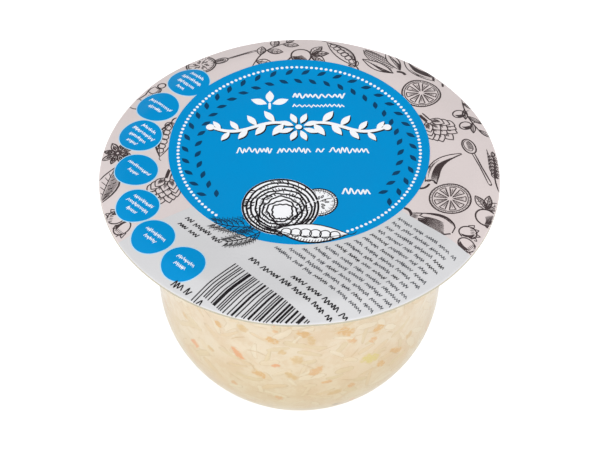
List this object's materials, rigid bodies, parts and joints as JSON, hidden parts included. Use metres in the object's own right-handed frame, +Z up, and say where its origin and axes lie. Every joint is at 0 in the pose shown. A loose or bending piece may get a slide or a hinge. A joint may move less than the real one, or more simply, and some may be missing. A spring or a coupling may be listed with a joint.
{
  "type": "coleslaw in a sealed clear cup",
  "caption": "Round clear plastic cup with a rounded bottom and a broad flange, filled with creamy coleslaw and shut by a sealed printed film.",
  "frame": {"origin": "middle of the base, on the surface that the cup stands on", "axes": "+Z up along the cup's axis; the front, from which the film's print is read, faces -Y"},
  "size_m": [0.095, 0.095, 0.0622],
  "materials": {
    "clear_plastic": "clear thin formed plastic, glossy",
    "coleslaw": "cream dressing with pale cabbage and carrot shreds, moist",
    "printed_film": "satin film printed in blue, pale grey and beige with fine dark line drawings"
  },
  "bodies": {
    "root": {"cup": "clear_plastic", "coleslaw": "coleslaw", "lid": "printed_film"}
  },
  "joints": []
}
